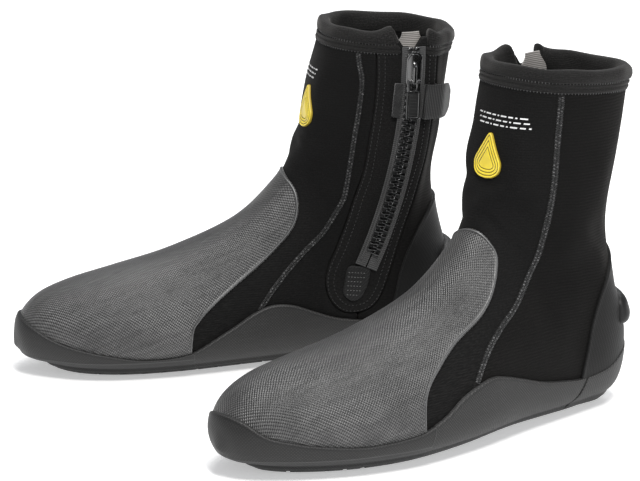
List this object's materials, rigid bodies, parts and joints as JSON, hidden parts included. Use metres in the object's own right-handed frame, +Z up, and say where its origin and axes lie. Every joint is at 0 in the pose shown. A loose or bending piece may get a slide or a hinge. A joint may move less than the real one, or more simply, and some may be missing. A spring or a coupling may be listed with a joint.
{
  "type": "neoprene boots",
  "caption": "Pair of zipped neoprene ankle boots with rubber soles, foxing and heel counters, mesh vamp overlays, curved inner-side zips and fold-over keeper flaps.",
  "frame": {"origin": "on the floor under the middle of the pair of boots", "axes": "+Z up, -Y the way the toes point, +X towards the side of the wearer's left boot"},
  "size_m": [0.3266, 0.3328, 0.2222],
  "materials": {
    "outsole_rubber": "matt",
    "board": "matt",
    "insole": "matt",
    "foxing_rubber": "satin",
    "counter_rubber": "satin",
    "overlay_mesh": "semi-gloss woven relief",
    "neoprene": "matt jersey over neoprene",
    "facing_neoprene": "matt jersey over neoprene",
    "collar_fabric": "matt rolled binding",
    "badge_rubber": "satin",
    "zip_tape": "matt woven",
    "zip_plastic": "satin moulded",
    "patch_fabric": "matt",
    "gusset_fabric": "matt",
    "slider_metal": "gloss black",
    "pull_plastic": "gloss",
    "keeper_fabric": "matt woven",
    "loop_fabric": "matt brushed loop"
  },
  "bodies": {
    "left_boot": {"left_outsole": "outsole_rubber", "left_strobel_board": "board", "left_insole": "insole", "left_toe_foxing": "foxing_rubber", "left_lateral_foxing": "foxing_rubber", "left_medial_foxing": "foxing_rubber", "left_heel_foxing": "foxing_rubber", "left_heel_counter": "counter_rubber", "left_fin_strap_stop": "counter_rubber", "left_vamp_overlay": "overlay_mesh", "left_front_panel": "neoprene", "left_rear_panel": "neoprene", "left_medial_quarter": "neoprene", "left_zip_facing": "facing_neoprene", "left_collar_binding": "collar_fabric", "left_size_badge": "badge_rubber", "left_zip_tape_front": "zip_tape", "left_zip_tape_rear": "zip_tape", "left_zip_teeth_front": "zip_plastic", "left_zip_teeth_rear": "zip_plastic", "left_zip_top_stops": "zip_plastic", "left_zip_end_patch": "patch_fabric", "left_zip_gusset": "gusset_fabric", "left_keeper_base": "keeper_fabric", "left_keeper_loop_patch": "loop_fabric"},
    "left_slider": {"left_zip_slider": "slider_metal"},
    "left_pull": {"left_pull_tab": "pull_plastic"},
    "left_flap": {"left_keeper_flap": "keeper_fabric"},
    "right_boot": {"right_outsole": "outsole_rubber", "right_strobel_board": "board", "right_insole": "insole", "right_toe_foxing": "foxing_rubber", "right_lateral_foxing": "foxing_rubber", "right_medial_foxing": "foxing_rubber", "right_heel_foxing": "foxing_rubber", "right_heel_counter": "counter_rubber", "right_fin_strap_stop": "counter_rubber", "right_vamp_overlay": "overlay_mesh", "right_front_panel": "neoprene", "right_rear_panel": "neoprene", "right_medial_quarter": "neoprene", "right_zip_facing": "facing_neoprene", "right_collar_binding": "collar_fabric", "right_size_badge": "badge_rubber", "right_zip_tape_front": "zip_tape", "right_zip_tape_rear": "zip_tape", "right_zip_teeth_front": "zip_plastic", "right_zip_teeth_rear": "zip_plastic", "right_zip_top_stops": "zip_plastic", "right_zip_end_patch": "patch_fabric", "right_zip_gusset": "gusset_fabric", "right_keeper_base": "keeper_fabric", "right_keeper_loop_patch": "loop_fabric"},
    "right_slider": {"right_zip_slider": "slider_metal"},
    "right_pull": {"right_pull_tab": "pull_plastic"},
    "right_flap": {"right_keeper_flap": "keeper_fabric"}
  },
  "joints": [
    {"name": "right_boot_lift", "type": "slide", "parent": "left_boot", "child": "right_boot", "axis": [0, 0, 1], "range_m": [0, 0.3]},
    {"name": "left_zip_slide", "type": "hinge", "parent": "left_boot", "child": "left_slider", "pos_m": [0.11496, -0.22175, 0.205], "axis": [-0.9744, -0.2232, -0.0288], "range_deg": [0, 19.96]},
    {"name": "left_pull_swing", "type": "hinge", "parent": "left_slider", "child": "left_pull", "pos_m": [0.03342, 0.11316, 0.18806], "axis": [-0.2224, 0.9746, -0.0284], "range_deg": [0, 130]},
    {"name": "left_flap_fold", "type": "hinge", "parent": "left_boot", "child": "left_flap", "pos_m": [0.03244, 0.12109, 0.17358], "axis": [-0.0477, 0.0798, 0.9957], "range_deg": [0, 202]},
    {"name": "right_zip_slide", "type": "hinge", "parent": "right_boot", "child": "right_slider", "pos_m": [-0.11496, -0.26055, 0.205], "axis": [-0.9744, 0.2232, 0.0288], "range_deg": [0, 19.96]},
    {"name": "right_pull_swing", "type": "hinge", "parent": "right_slider", "child": "right_pull", "pos_m": [-0.03342, 0.07436, 0.18806], "axis": [-0.2224, -0.9746, 0.0284], "range_deg": [0, 130]},
    {"name": "right_flap_fold", "type": "hinge", "parent": "right_boot", "child": "right_flap", "pos_m": [-0.03244, 0.08229, 0.17358], "axis": [-0.0477, -0.0798, -0.9957], "range_deg": [0, 202]}
  ]
}
